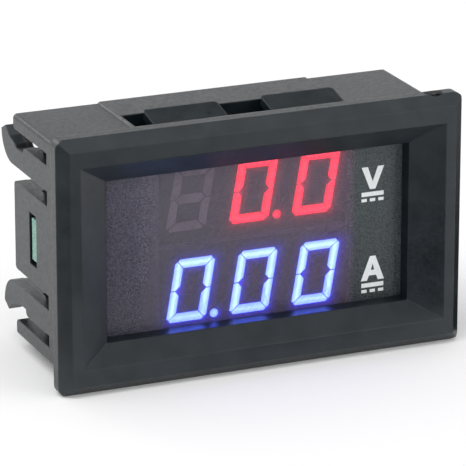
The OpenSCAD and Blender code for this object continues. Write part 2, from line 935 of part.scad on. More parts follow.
housing();
smoked_window();
display_shell(volts_z);  // volts_display_shell
volts_segments_lit();
volts_segments_dark();
led_board(volts_z);  // volts_led_board
display_pins(volts_z);  // volts_display_pins
display_shell(amps_z);  // amps_display_shell
amps_segments_lit();
amps_segments_dark();
led_board(amps_z);  // amps_led_board
display_pins(amps_z);  // amps_display_pins
circuit_board();
solder_joints();
supply_header();
supply_header_pins();
current_header();
current_header_pins();
current_shunt();
microcontroller();
microcontroller_leads();
op_amp();
op_amp_leads();
voltage_regulator();
voltage_regulator_leads();
trimmer_base(volts_trimmer_at);  // volts_trimmer_base
trimmer_rotor(volts_trimmer_at);  // volts_trimmer_rotor
trimmer_base(amps_trimmer_at);  // amps_trimmer_base
trimmer_rotor(amps_trimmer_at);  // amps_trimmer_rotor
trimmer_terminals();
input_diode();
input_diode_terminals();
chip_resistors();
chip_resistor_ends();
chip_capacitors();
chip_capacitor_ends();
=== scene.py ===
"""Looks of the digital panel meter: finishes, prints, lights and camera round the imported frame.

Lengths are in millimetres in the named values, and mm() turns them into Blender's metres. The
frame's axes hold: +X to the right as the meter is read, +Y into the panel, +Z up, with the origin
at the centre of the bezel's rear face.
"""
import math

import bmesh
import bpy
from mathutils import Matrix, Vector


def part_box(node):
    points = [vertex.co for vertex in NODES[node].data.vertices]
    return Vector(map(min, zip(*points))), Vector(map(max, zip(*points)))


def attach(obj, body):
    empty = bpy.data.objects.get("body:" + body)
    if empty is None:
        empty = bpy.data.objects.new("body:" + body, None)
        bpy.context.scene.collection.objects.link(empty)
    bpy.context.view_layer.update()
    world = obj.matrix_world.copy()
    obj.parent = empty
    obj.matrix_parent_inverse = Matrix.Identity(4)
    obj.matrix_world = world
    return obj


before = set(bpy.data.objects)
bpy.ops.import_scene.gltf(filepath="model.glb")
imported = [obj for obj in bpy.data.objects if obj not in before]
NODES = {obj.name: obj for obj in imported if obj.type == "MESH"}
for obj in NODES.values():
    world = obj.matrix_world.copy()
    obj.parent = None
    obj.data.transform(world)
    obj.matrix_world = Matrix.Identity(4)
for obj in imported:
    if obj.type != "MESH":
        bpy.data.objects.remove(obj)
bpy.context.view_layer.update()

MM = 0.001


def mm(*values):
    """Millimetres to metres, for one number or a point."""
    return values[0] * MM if len(values) == 1 else Vector(values) * MM


# ---- shader helpers ----------------------------------------------------------


class Finish:
    """A procedural material under construction. Texture scales are in features per millimetre."""

    def __init__(self, name):
        self.material = bpy.data.materials.new(name)
        self.material.use_nodes = True
        self.tree = self.material.node_tree
        self.tree.nodes.clear()
        self.output = self.add("ShaderNodeOutputMaterial")
        self.shader = self.add("ShaderNodeBsdfPrincipled")
        self.join(self.shader.outputs["BSDF"], self.output.inputs["Surface"])
        coords = self.add("ShaderNodeTexCoord")
        scaled = self.add("ShaderNodeVectorMath", operation="SCALE")
        scaled.inputs["Scale"].default_value = 1 / MM
        self.join(coords.outputs["Object"], scaled.inputs[0])
        self.place = scaled.outputs[0]

    def add(self, kind, **settings):
        node = self.tree.nodes.new(kind)
        for key, value in settings.items():
            setattr(node, key, value)
        return node

    def join(self, a, b):
        self.tree.links.new(a, b)

    def set(self, **values):
        """Sets the shader's own sockets, by name with _ for a space."""
        for key, value in values.items():
            if isinstance(value, tuple):
                value = (*value, 1)
            self.shader.inputs[key.replace("_", " ")].default_value = value
        return self

    def math(self, operation, a, b=None, clamp=False):
        node = self.add("ShaderNodeMath", operation=operation, use_clamp=clamp)
        for socket, value in zip(node.inputs, (a, b)):
            if value is None:
                continue
            if isinstance(value, (int, float)):
                socket.default_value = value
            else:
                self.join(value, socket)
        return node.outputs[0]

    def noise(self, scale, detail=2.0, roughness=0.5, distortion=0.0):
        node = self.add("ShaderNodeTexNoise")
        node.inputs["Scale"].default_value = scale
        node.inputs["Detail"].default_value = detail
        node.inputs["Roughness"].default_value = roughness
        node.inputs["Distortion"].default_value = distortion
        self.join(self.place, node.inputs["Vector"])
        return node.outputs["Fac"]

    def ramp(self, value, *stops):
        """A colour ramp through (position, colour) stops, where a colour is a grey or an RGB."""
        node = self.add("ShaderNodeValToRGB")
        elements = node.color_ramp.elements
        while len(elements) < len(stops):
            elements.new(0.5)
        for element, (position, colour) in zip(elements, stops):
            element.position = position
            grey = isinstance(colour, (int, float))
            element.color = (colour, colour, colour, 1) if grey else (*colour, 1)
        self.join(value, node.inputs["Fac"])
        return node.outputs["Color"]

    def mix(self, factor, a, b, blend="MIX"):
        """Mixes two colours, each a socket or an RGB, by a factor that is a socket or a number."""
        node = self.add("ShaderNodeMix", data_type="RGBA", blend_type=blend)
        for socket, value in zip((node.inputs[0], node.inputs[6], node.inputs[7]), (factor, a, b)):
            if isinstance(value, tuple):
                socket.default_value = (*value, 1)
            elif isinstance(value, (int, float)):
                socket.default_value = value
            else:
                self.join(value, socket)
        return node.outputs[2]

    def colour(self, socket):
        self.join(socket, self.shader.inputs["Base Color"])
        return self

    def roughness(self, value, low, high):
        self.join(self.ramp(value, (0.3, low), (0.7, high)), self.shader.inputs["Roughness"])
        return self

    def bump(self, height, depth, strength=1.0):
        """Raises the surface by up to depth millimetres where height is 1."""
        node = self.add("ShaderNodeBump")
        node.inputs["Strength"].default_value = strength
        node.inputs["Distance"].default_value = mm(depth)
        self.join(height, node.inputs["Height"])
        last = self.shader.inputs["Normal"]
        if last.is_linked:
            self.join(last.links[0].from_socket, node.inputs["Normal"])
        self.join(node.outputs["Normal"], last)
        return self

    def round_edges(self, radius):
        """Lets the light run round sharp edges, as if they had a small radius in millimetres."""
        node = self.add("ShaderNodeBevel", samples=4)
        node.inputs["Radius"].default_value = mm(radius)
        self.join(node.outputs[0], self.shader.inputs["Normal"])
        return self

    def faces_along_y(self):
        """1 on faces that look along Y, 0 on the others."""
        normal = self.add("ShaderNodeSeparateXYZ")
        self.join(self.add("ShaderNodeNewGeometry").outputs["True Normal"], normal.inputs[0])
        along = 0.6
        return self.math("GREATER_THAN", self.math("ABSOLUTE", normal.outputs["Y"]), along)

    def axes(self):
        """The place's x, y and z, in millimetres."""
        node = self.add("ShaderNodeSeparateXYZ")
        self.join(self.place, node.inputs[0])
        return node.outputs

    def length(self, a, b):
        return self.math("SQRT", self.math("ADD", self.math("MULTIPLY", a, a),
                                           self.math("MULTIPLY", b, b)))

    def fades(self, distance, reach):
        """1 at distance 0, falling by e over each reach."""
        return self.math("POWER", math.exp(-1 / reach), distance)

    def glow(self, colour, strength):
        """Adds light in the colour of a socket."""
        self.join(colour, self.shader.inputs["Emission Color"])
        return self.set(Emission_Strength=strength)


def wear(node, finish):
    """Gives a CAD node a finish in all its slots."""
    materials = NODES[node].data.materials
    if not materials:
        materials.append(finish.material)
    for i in range(len(materials)):
        materials[i] = finish.material


# ---- finishes ----------------------------------------------------------------

BLACK = (0.0, 0.0, 0.0)
SOOT = (0.001, 0.001, 0.001)   # the torn plastic of the gate's mark
GATE_AT = (20.8, -0.75)        # the middle of that mark, in X and Y
GATE_R = 1.1
GATE_SQUASH = 1.3              # its width against its depth
GATE_ABOVE = 13.9              # it shows only above this height
WINDOW_W = 40.0
WINDOW_H = 18.0
TAB_END = 5.0                  # the board's edge is bare fibre on its tabs, and painted near black beside them as shade
SLANT = 10                     # of the digits, in degrees
DIGIT_PITCH = 7.5
ZERO_W = 3.7                   # between the centre lines of a zero's segments
ZERO_H = 6.2
POINT_ACROSS = 3.3             # from a digit's middle, along its slanted axes
POINT_DROP = 3.1
FIRST_LIT = {"volts": 0, "amps": -1}    # of the digits -1, 0 and 1
DARK_MARGIN = 0.9              # half a segment's width, beside the last dark digit
SHADE_BETWEEN_LIT = 0.33                  # painted shade: how much of the unlit resin's tone shows between lit segments
CORE_REACH = 0.45              # how far the pale core of a lit segment fades outwards
HALO_REACH = 0.42              # how far the painted glow of the digits' light reaches over the window
# colours of the painted glow that the window gives off round the digits
HALO_RED = (0.85, 0.02, 0.06)
HALO_BLUE = (0.08, 0.06, 2.0)


def moulded_black():
    """Black ABS with the fine spark-eroded texture of its mould."""
    f = Finish("black_abs").set(IOR=1.54)
    torn = gate_mark(f)
    cloud = f.ramp(f.noise(0.35, detail=3), (0.3, (0.001, 0.006, 0.009)),
                   (0.7, (0.010, 0.0165, 0.0215)))
    f.colour(f.mix(torn, cloud, SOOT))
    f.roughness(f.noise(2.2, detail=4), 0.3, 0.42)
    f.round_edges(0.24)
    f.bump(f.noise(14, detail=2), 0.006, 0.5)
    f.bump(f.noise(4, detail=4, roughness=0.7), 0.022, 0.5)
    f.join(f.ramp(torn, (0.0, 0.5), (1.0, 0.04)), f.shader.inputs["Specular IOR Level"])
    return f.bump(torn, 0.12, 1.0)


def gate_mark(f):
    """1 in the torn specks that the mould's gate left on the bezel's top, at the right."""
    x, y, z = f.axes()
    near = f.length(f.math("SUBTRACT", x, GATE_AT[0]),
                    f.math("MULTIPLY", f.math("SUBTRACT", y, GATE_AT[1]), GATE_SQUASH))
    inside = f.math("MULTIPLY", f.math("LESS_THAN", near, GATE_R),
                    f.math("GREATER_THAN", z, GATE_ABOVE))
    specks = f.math("GREATER_THAN", f.noise(2.6, detail=5, roughness=0.8, distortion=0.6), 0.44)
    return f.math("MULTIPLY", inside, specks)


def display_axes(f, side):
    """Across and up a display from its middle, with the digits' slant taken out."""
    x, _, z = f.axes()
    low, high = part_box(side + "_display_shell")
    centre = (low + high) / 2 / MM
    z = f.math("SUBTRACT", z, centre.z)
    return f.math("SUBTRACT", f.math("SUBTRACT", x, centre.x),
                  f.math("MULTIPLY", z, math.tan(math.radians(SLANT)))), z


def digit_distance(f, side):
    """How far a place lies from the centre line of the lit zeros and point of a display."""
    across, z = display_axes(f, side)
    index = f.math("ROUND", f.math("DIVIDE", across, DIGIT_PITCH))
    first = FIRST_LIT[side]
    index = f.math("MINIMUM", f.math("MAXIMUM", index, first), 1)
    u = f.math("SUBTRACT", across, f.math("MULTIPLY", index, DIGIT_PITCH))
    beside = f.math("SUBTRACT", f.math("ABSOLUTE", u), ZERO_W / 2)
    above = f.math("SUBTRACT", f.math("ABSOLUTE", z), ZERO_H / 2)
    outside = f.length(f.math("MAXIMUM", beside, 0), f.math("MAXIMUM", above, 0))
    inside = f.math("MINIMUM", f.math("MAXIMUM", beside, above), 0)
    ring = f.math("ABSOLUTE", f.math("ADD", outside, inside))
    point = f.length(f.math("SUBTRACT", across, first * DIGIT_PITCH + POINT_ACROSS),
                     f.math("ADD", z, POINT_DROP))
    return f.math("MINIMUM", ring, point)


def smoked():
    """The smoked window: a tinted sheet with a grainy face, given a painted glow round the digits
    for their light scattered in it.
    """
    f = Finish("smoked_acrylic").set(IOR=1.49, Specular_IOR_Level=0.25)
    x, _, z = f.axes()
    across = f.math("MULTIPLY", f.math("ADD", x, WINDOW_W / 2), 1 / WINDOW_W)
    up = f.math("MULTIPLY", f.math("ADD", z, WINDOW_H / 2), 1 / WINDOW_H)
    left, clear, clear_end, right = 0.14, 0.24, 0.77, 0.81      # shares of the window's width
    f.join(f.ramp(across, (left, 0.8), (clear, 0.42), (clear_end, 0.42), (right, 0.88)),
           f.shader.inputs["Alpha"])
    haze = f.ramp(across, (left, (0.100, 0.096, 0.130)), (clear, (0.205, 0.185, 0.245)),
                  (clear_end, (0.225, 0.170, 0.245)), (right, (0.070, 0.083, 0.088)))
    haze = f.mix(1.0, haze, f.ramp(up, (0.0, 0.82), (1.0, 1.12)), "MULTIPLY")
    grain = f.ramp(f.noise(7, detail=2, roughness=0.6), (0.3, 0.45), (0.7, 1.55))
    f.colour(f.mix(1.0, haze, grain, "MULTIPLY"))
    f.roughness(f.noise(9, detail=3), 0.2, 0.3)
    f.bump(f.noise(9, detail=3), 0.008, 0.5)
    # painted glow: emission on the window round the lit digits, for their light scattered in the
    # sheet
    painted_glow_grain = f.mix(0.6, (1.0, 1.0, 1.0), grain)
    painted_halos = []
    for side, tint in (("volts", HALO_RED), ("amps", HALO_BLUE)):
        near = f.fades(digit_distance(f, side), HALO_REACH)
        painted_halos.append(f.mix(f.math("MULTIPLY", near, painted_glow_grain, clamp=True), BLACK, tint))
    return f.glow(f.mix(1.0, *painted_halos, "ADD"), 1.0)


def laminate():
    """Glass-fibre laminate: green lacquer, pale cut fibres on the edges of its tabs, and painted
    shade on its edges beside them.
    """
    f = Finish("board_laminate")
    weave = f.noise(2.5, detail=5)
    lacquer = f.ramp(weave, (0.3, (0.008, 0.105, 0.052)), (0.7, (0.014, 0.150, 0.078)))
    fibre = f.ramp(f.noise(5.5, detail=4, roughness=0.7), (0.35, (0.12, 0.33, 0.24)),
                   (0.55, (0.27, 0.46, 0.39)), (0.68, (0.78, 0.86, 0.83)))
    _, _, z = f.axes()
    # painted shade: beside the tabs the board's edge is coloured near black, for the shade it lies
    # in
    shaded_beside_tabs = f.math("GREATER_THAN", f.math("ABSOLUTE", z), TAB_END)
    edge = f.mix(shaded_beside_tabs, fibre, (0.006, 0.03, 0.018))
    face = f.faces_along_y()
    f.colour(f.mix(face, edge, lacquer))
    f.join(f.ramp(face, (0.0, 0.7), (1.0, 0.26)), f.shader.inputs["Roughness"])
    return f.bump(f.noise(5, detail=4), 0.015, 0.5)


def unlit_resin(side):
    """Milky resin, with painted shade that makes it darker between the lit segments than in the
    digit that is dark.
    """
    f = Finish("unlit_segment").set(Roughness=0.5)
    milk = f.ramp(f.noise(1.5, detail=4), (0.3, (0.34, 0.28, 0.34)), (0.7, (0.46, 0.38, 0.46)))
    dark_digits_end = (FIRST_LIT[side] - 1) * DIGIT_PITCH + ZERO_W / 2 + DARK_MARGIN
    shown = f.math("LESS_THAN", display_axes(f, side)[0], dark_digits_end)
    f.bump(f.noise(6, detail=2), 0.004, 0.4)
    # painted shade: outside the dark digit the resin keeps only part of its tone
    return f.colour(f.mix(f.math("MAXIMUM", shown, SHADE_BETWEEN_LIT), BLACK, milk))


def lit_resin(name, side, core, edge, strength):
    """Resin lit from behind: paler along the middle of each segment, over the LED dies."""
    f = Finish(name).set(Base_Color=edge, Roughness=0.4)
    middle = f.fades(digit_distance(f, side), CORE_REACH)
    f.bump(f.noise(6, detail=2), 0.004, 0.4)
    spark = f.ramp(f.noise(1.4, detail=3), (0.3, 0.85), (0.7, 1.1))
    return f.glow(f.mix(f.math("MULTIPLY", middle, spark, clamp=True), edge, core), strength)


def plain(name, low, high, rough=(0.35, 0.5), scale=3.0, depth=0.01, grain=10.0, **settings):
    """A moulded, cast or printed surface whose colour drifts between two tones."""
    f = Finish(name).set(**settings)
    f.colour(f.ramp(f.noise(scale, detail=4), (0.3, low), (0.7, high)))
    f.roughness(f.noise(scale * 1.7, detail=3), *rough)
    f.bump(f.noise(grain, detail=3), depth, 0.6)
    return f


def metal(name, low, high, rough=(0.2, 0.4), grain=8.0, depth=0.006):
    return plain(name, low, high, rough=rough, scale=2.5, depth=depth, grain=grain, Metallic=1.0)


black = moulded_black()
wear("housing", black)
wear("smoked_window", smoked())
shell = plain("display_shell", (0.10, 0.098, 0.105), (0.13, 0.127, 0.135))
lit_red = lit_resin("red_segment", "volts", (1.0, 0.05, 0.085), (0.8, 0.006, 0.02), 2.0)
lit_blue = lit_resin("blue_segment", "amps", (0.45, 0.74, 1.0), (0.08, 0.13, 1.0), 2.8)
tin = metal("tinned_pin", (0.62, 0.61, 0.58), (0.78, 0.77, 0.74))
chip = plain("chip_black", (0.014, 0.014, 0.015), (0.022, 0.022, 0.023), rough=(0.45, 0.6))
for side in ("volts", "amps"):
    wear(side + "_display_shell", shell)
    wear(side + "_segments_lit", lit_red if side == "volts" else lit_blue)
    wear(side + "_segments_dark", unlit_resin(side))
    wear(side + "_led_board", plain("led_board", (0.6, 0.6, 0.55), (0.7, 0.7, 0.64)))
    wear(side + "_display_pins", tin)
    wear(side + "_trimmer_base", plain("trimmer_body", (0.02, 0.08, 0.25), (0.03, 0.11, 0.3)))
    wear(side + "_trimmer_rotor", metal("trimmer_metal", (0.6, 0.55, 0.42), (0.75, 0.7, 0.55)))
wear("circuit_board", laminate())
wear("solder_joints", metal("solder", (0.55, 0.55, 0.54), (0.75, 0.75, 0.73), rough=(0.1, 0.25)))
wear("supply_header", plain("header_white", (0.72, 0.70, 0.62), (0.78, 0.76, 0.69)))
wear("current_header", plain("header_black", (0.012, 0.012, 0.013), (0.02, 0.02, 0.021)))
wear("current_shunt", metal("shunt_alloy", (0.5, 0.3, 0.18), (0.65, 0.42, 0.27)))
for node in ("supply_header_pins", "current_header_pins", "microcontroller_leads", "op_amp_leads",
             "voltage_regulator_leads", "trimmer_terminals", "input_diode_terminals",
             "chip_resistor_ends", "chip_capacitor_ends"):
    wear(node, tin)
for node in ("microcontroller", "op_amp", "voltage_regulator", "input_diode", "chip_resistors"):
    wear(node, chip)
wear("chip_capacitors", plain("capacitor_ceramic", (0.45, 0.3, 0.16), (0.52, 0.36, 0.2)))


# ---- pieces ------------------------------------------------------------------


def extruded(name, outlines, corner, depth, material):
    """Flat areas raised along depth, as one piece that rides on the meter.

    An outline is a list of pairs, and corner turns a pair into a point. All in millimetres.
    """
    mesh = bmesh.new()
    for outline in outlines:
        face = mesh.faces.new([mesh.verts.new(mm(*corner(a, b))) for a, b in outline])
        grown = bmesh.ops.extrude_face_region(mesh, geom=[face])
        moved = [v for v in grown["geom"] if isinstance(v, bmesh.types.BMVert)]
        bmesh.ops.translate(mesh, verts=moved, vec=mm(*depth))
    bmesh.ops.recalc_face_normals(mesh, faces=mesh.faces)
    data = bpy.data.meshes.new(name)
    mesh.to_mesh(data)
    mesh.free()
    data.materials.append(material)
    piece = bpy.data.objects.new(name, data)
    bpy.context.scene.collection.objects.link(piece)
    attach(piece, "meter")


def ink(name, outlines, y, depth, finish):
    """Flat areas, each an outline of (x, z), from the plane at y to y + depth."""
    extruded(name, outlines, lambda x, z: (x, y, z), (0, depth, 0), finish.material)


def span(node):
    """A node's low and high corner in millimetres."""
    low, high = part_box(node)
    return low / MM, high / MM


def arc(cy, cz, r, start, stop, steps=10):
    """Points on an arc between two angles in degrees."""
    angles = [math.radians(start + (stop - start) * i / steps) for i in range(steps + 1)]
    return [(cy + r * math.cos(angle), cz + r * math.sin(angle)) for angle in angles]


def rectangle(x0, x1, z0, z1):
    return [(x0, z0), (x1, z0), (x1, z1), (x0, z1)]


def bar(x, z, w, h):
    """A rectangle by its middle and its size."""
    return rectangle(x - w / 2, x + w / 2, z - h / 2, z + h / 2)


def disc(x, z, r, sides=16):
    angles = [2 * math.pi * i / sides for i in range(sides)]
    return [(x + r * math.cos(angle), z + r * math.sin(angle)) for angle in angles]


# ---- side walls --------------------------------------------------------------

WALL_IN = 21.25                # inner faces of the housing's side walls
STEP_T = 0.65
STEP_SUNK = 0.02               # into the wall, so that the step has no seam
STEP_FROM = 10.6               # just behind the board
STEP_TO = 15.25                # the rear end of the walls
STEP_CHAMFER = 0.27
TONGUE_HALF = 5.07             # half the height of the middle tongue
WALL_LOW = 11.18               # of the wall's end above the clip arm
WALL_HIGH = 12.2
ARM_LOW = 6.88
ARM_HIGH = 9.72
ARM_TURN = (15.9, 10.15)       # centre of the large arc that ends a clip arm
ARM_TURN_R = 3.24
CATCH = ((19.15, 10.1), (17.78, 10.76), (16.72, 9.86), (15.02, 9.4), (14.42, 9.02), (12.34, 9.02))
WAIST = (11.6, 9.05)           # centre of the round between an arm's waist and its root
WAIST_R = 0.67


def line_walls():
    """The step by which the side walls are thicker behind the board than beside it.

    Its outlines, in Y and Z, follow the clip arms, the walls' ends and the middle tongue.
    """
    arm = ([(STEP_FROM, ARM_LOW)] + arc(*ARM_TURN, ARM_TURN_R, -90, -3) + list(CATCH)
           + arc(*WAIST, WAIST_R, 0, 90, 5) + [(STEP_FROM, ARM_HIGH)])
    wall = [(STEP_FROM, WALL_LOW), (STEP_TO - STEP_CHAMFER, WALL_LOW),
            (STEP_TO, WALL_LOW + STEP_CHAMFER), (STEP_TO, WALL_HIGH), (STEP_FROM, WALL_HIGH)]
    upper = [(STEP_TO, TONGUE_HALF - STEP_CHAMFER), (STEP_TO - STEP_CHAMFER, TONGUE_HALF),
             (STEP_FROM, TONGUE_HALF)]
    tongue = [(y, -z) for y, z in reversed(upper)] + upper
    flipped = [[(y, -z) for y, z in reversed(shape)] for shape in (arm, wall)]
    for name, side in (("left", -1), ("right", 1)):
        outer = side * (WALL_IN + STEP_SUNK)
        inner = side * (WALL_IN - STEP_T)
        extruded("wall_step_" + name, [arm, wall, tongue] + flipped,
                 lambda y, z: (outer, y, z), (inner - outer, 0, 0), black.material)


line_walls()


# ---- prints on the window ----------------------------------------------------

PRINT_T = 0.03                 # how far the ink stands on the window
STROKE = 0.66                  # of the unit letters
FOOT = STROKE * 1.15           # a slanted stroke's width along the base line
NOTCH = STROKE * 1.3           # from a letter's point to the notch inside it


def direct_current(x, top, w):
    """The sign for direct current: a line over three dashes."""
    line, gap, dash = 0.5, 0.26, 0.36
    dash_w, between = w * 0.24, w * 0.14
    low = top - line - gap
    dashes = [x + i * (dash_w + between) for i in (-1, 0, 1)]
    return [rectangle(x - w / 2, x + w / 2, top - line, top)] + [
        rectangle(dash_x - dash_w / 2, dash_x + dash_w / 2, low - dash, low) for dash_x in dashes]


def letter_v(x, low, w, h):
    half = w / 2
    return [[(x - half, low + h), (x - STROKE / 2, low), (x + STROKE / 2, low),
             (x + half, low + h), (x + half - FOOT, low + h), (x, low + NOTCH),
             (x - half + FOOT, low + h)]]


def letter_a(x, low, w, h):
    half = w / 2
    run = half - STROKE / 2               # how far a leg leans over the letter's height
    cross_low, cross_high = low + h * 0.2, low + h * 0.42

    def inner(z):
        """Half the letter's inside width at a height."""
        return half - FOOT - run * (z - low) / h

    left_leg = [(x - half, low), (x - half + FOOT, low), (x - inner(cross_low), cross_low),
                (x - inner(cross_high), cross_high), (x, low + h - NOTCH), (x, low + h),
                (x - STROKE / 2, low + h)]
    right_leg = [(2 * x - leg_x, z) for leg_x, z in reversed(left_leg)]
    cross = [(x - inner(cross_low), cross_low), (x + inner(cross_low), cross_low),
             (x + inner(cross_high), cross_high), (x - inner(cross_high), cross_high)]
    return [left_leg, right_leg, cross]


def print_units():
    window_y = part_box("smoked_window")[0].y / MM
    white = plain("white_ink", (0.80, 0.84, 0.86), (0.92, 0.94, 0.95), rough=(0.4, 0.55), scale=4)
    volt = letter_v(x=14.42, low=3.62, w=2.75, h=2.6) + direct_current(x=14.42, top=3.3, w=2.7)
    ampere = letter_a(x=14.52, low=-7.1, w=2.85, h=2.85) + direct_current(x=14.52, top=-7.4, w=2.7)
    ink("volt_mark", volt, window_y, -PRINT_T, white)
    ink("ampere_mark", ampere, window_y, -PRINT_T, white)


# ---- prints on the board -----------------------------------------------------

SILK_T = 0.02                  # how far each kind of print stands on the board
TRACK_T = 0.012
PAD_T = 0.016
DIMPLE_T = 0.01
SILK_W = 0.14
SIGN_W = 1.0                   # of the plus and the minus
SIGN_T = 0.16
PLUS_OFF = (1.1, 0.9)          # from the supply header's upper left corner
MINUS_OFF = (1.2, 1.02)        # from the current header's upper right corner
DOT_R = 0.22                   # of the dot beside a chip's first lead
DOT_OUT = (0.75, 0.1)          # from the chip's corner
DIMPLE_R = 0.28
DIMPLE_IN = 0.75               # from the chip's corner
DISPLAY_PINS = 6               # in a row
PIN_W = 0.5
TRACK_W = 0.28
THIN_TRACK_W = 0.2
RUN_OUT = 0.7                  # how far a track leaves a pin before it slants
JOG = 0.5                      # how far it steps aside between two rows of pins
LEAD_IN = 0.3
LEAD_PITCH = 0.65
FAN_TRACKS = 5                 # from the microcontroller's leads
FAN_START = 0.1                # over the leads' low end
FAN_ASIDE = (-1.0, -0.35)      # for the first of these tracks, and the step to the next
FAN_TURN = (-0.35, -0.18)
FAN_DOWN = (-1.2, -0.3)
FAN_END = (-9.8, 0.2)
LEG_IN = 0.6                   # from the shunt's end to the middle of its leg
HEADER_PIN_IN = 0.5
LAND_R = 1.25                  # of the shunt's lands
LAND_HALF = 0.8                # half the width of the strips from them to the header
LAND_DROP = 2.2
VIA_R = 0.32
VIAS = ((-9.6, 9.6), (-9.6, -2.0), (-8.7, -9.9), (9.0, -3.4), (9.2, 9.8), (8.6, 3.4),
        (19.6, 1.5), (19.4, -2.6), (-19.6, 6.0), (-3.0, 9.9), (3.2, -9.9), (-8.8, 3.0))
OUTLINED = {"supply_header": 0.3, "current_header": 0.3, "current_shunt": 0.7,
            "microcontroller": 0.25, "op_amp": 0.25, "voltage_regulator": 0.3,
            "input_diode": 0.35, "volts_trimmer_base": 0.25, "amps_trimmer_base": 0.25}
CHIPS = ("microcontroller", "op_amp")


def outline_of(node, margin):
    """Four lines round a part."""
    low, high = span(node)
    x0, x1, z0, z1 = low.x - margin, high.x + margin, low.z - margin, high.z + margin
    w = SILK_W
    return [rectangle(x0, x1, z0, z0 + w), rectangle(x0, x1, z1 - w, z1),
            rectangle(x0, x0 + w, z0 + w, z1 - w), rectangle(x1 - w, x1, z0 + w, z1 - w)]


def track(points, w):
    """A copper track through points, one strip for each stretch, with round ends."""
    areas = []
    for (ax, az), (bx, bz) in zip(points, points[1:]):
        run = math.hypot(bx - ax, bz - az)
        sx, sz = (bz - az) / run * w / 2, (ax - bx) / run * w / 2
        areas.append([(ax + sx, az + sz), (bx + sx, bz + sz),
                      (bx - sx, bz - sz), (ax - sx, az - sz)])
    return areas + [disc(x, z, w / 2, 10) for x, z in points]


def print_silkscreen(rear):
    """The outlines of the parts, a plus and a minus at the headers, and the chips' dots."""
    white = plain("silkscreen_white", (0.72, 0.74, 0.72), (0.85, 0.86, 0.84), rough=(0.5, 0.65))
    areas = []
    for node, margin in OUTLINED.items():
        areas += outline_of(node, margin)
    low, high = span("supply_header")
    plus_x, plus_z = low.x - PLUS_OFF[0], high.z - PLUS_OFF[1]
    areas += [bar(plus_x, plus_z, SIGN_W, SIGN_T), bar(plus_x, plus_z, SIGN_T, SIGN_W)]
    high = span("current_header")[1]
    areas.append(bar(high.x + MINUS_OFF[0], high.z - MINUS_OFF[1], SIGN_W, SIGN_T))
    for node in CHIPS:
        high = span(node)[1]
        areas.append(disc(high.x + DOT_OUT[0], high.z + DOT_OUT[1], DOT_R))
    ink("board_silkscreen", areas, rear, SILK_T, white)


def print_tracks(rear):
    """Tracks between the displays' pins, and a fan of tracks from the microcontroller."""
    copper = plain("lacquered_copper", (0.016, 0.185, 0.085), (0.022, 0.225, 0.105),
                   rough=(0.2, 0.3))
    low, high = span("volts_display_pins")
    first = low.x + PIN_W / 2
    pitch = (high.x - low.x - PIN_W) / (DISPLAY_PINS - 1)
    upper = low.z + PIN_W / 2
    lower = span("amps_display_pins")[1].z - PIN_W / 2
    areas = []
    for i in range(DISPLAY_PINS):
        x = first + i * pitch
        aside = x + (JOG if i % 2 else -JOG)
        areas += track([(x, upper), (x, upper - RUN_OUT), (aside, upper - RUN_OUT - JOG),
                        (aside, lower + RUN_OUT + JOG), (x, lower + RUN_OUT), (x, lower)], TRACK_W)
    low = span("microcontroller_leads")[0]
    for i in range(FAN_TRACKS):
        x = low.x + LEAD_IN + i * LEAD_PITCH
        fan_x, turn_z, down_z, end_z = (first + step * i for first, step
                                        in (FAN_ASIDE, FAN_TURN, FAN_DOWN, FAN_END))
        areas += track([(x, low.z + FAN_START), (x, low.z + turn_z),
                        (low.x + fan_x, low.z + down_z), (low.x + fan_x, end_z)], THIN_TRACK_W)
    ink("board_tracks", areas, rear, TRACK_T, copper)


def print_pads(rear):
    """The shunt's wide lands, with a strip from each to the current header, and the vias."""
    bare = metal("tinned_copper", (0.60, 0.59, 0.56), (0.74, 0.73, 0.70), rough=(0.25, 0.4),
                 grain=4, depth=0.03)
    legs_low, legs_high = span("current_shunt")
    pins_low, pins_high = span("current_header_pins")
    z, end_z = (legs_low.z + legs_high.z) / 2, legs_low.z - LAND_DROP
    areas = []
    for leg_x, pin_x in ((legs_low.x + LEG_IN, pins_low.x + HEADER_PIN_IN),
                         (legs_high.x - LEG_IN, pins_high.x - HEADER_PIN_IN)):
        areas.append(disc(leg_x, z, LAND_R, 24))
        areas.append([(leg_x - LAND_HALF, z), (pin_x - LAND_HALF, end_z),
                      (pin_x + LAND_HALF, end_z), (leg_x + LAND_HALF, z)])
    areas += [disc(x, z, VIA_R) for x, z in VIAS]
    ink("board_pads", areas, rear, PAD_T, bare)


def mark_chips():
    """The dimples that mark the first pin of each chip."""
    grey = plain("chip_dimple", (0.035, 0.035, 0.036), (0.05, 0.05, 0.05), rough=(0.3, 0.4))
    for node in CHIPS:
        high = span(node)[1]
        ink(node + "_dimple", [disc(high.x - DIMPLE_IN, high.z - DIMPLE_IN, DIMPLE_R)], high.y,
            DIMPLE_T, grey)


print_units()
board_rear = span("circuit_board")[1].y
print_silkscreen(board_rear)
print_tracks(board_rear)
print_pads(board_rear)
mark_chips()


# ---- stage, lights and camera ------------------------------------------------

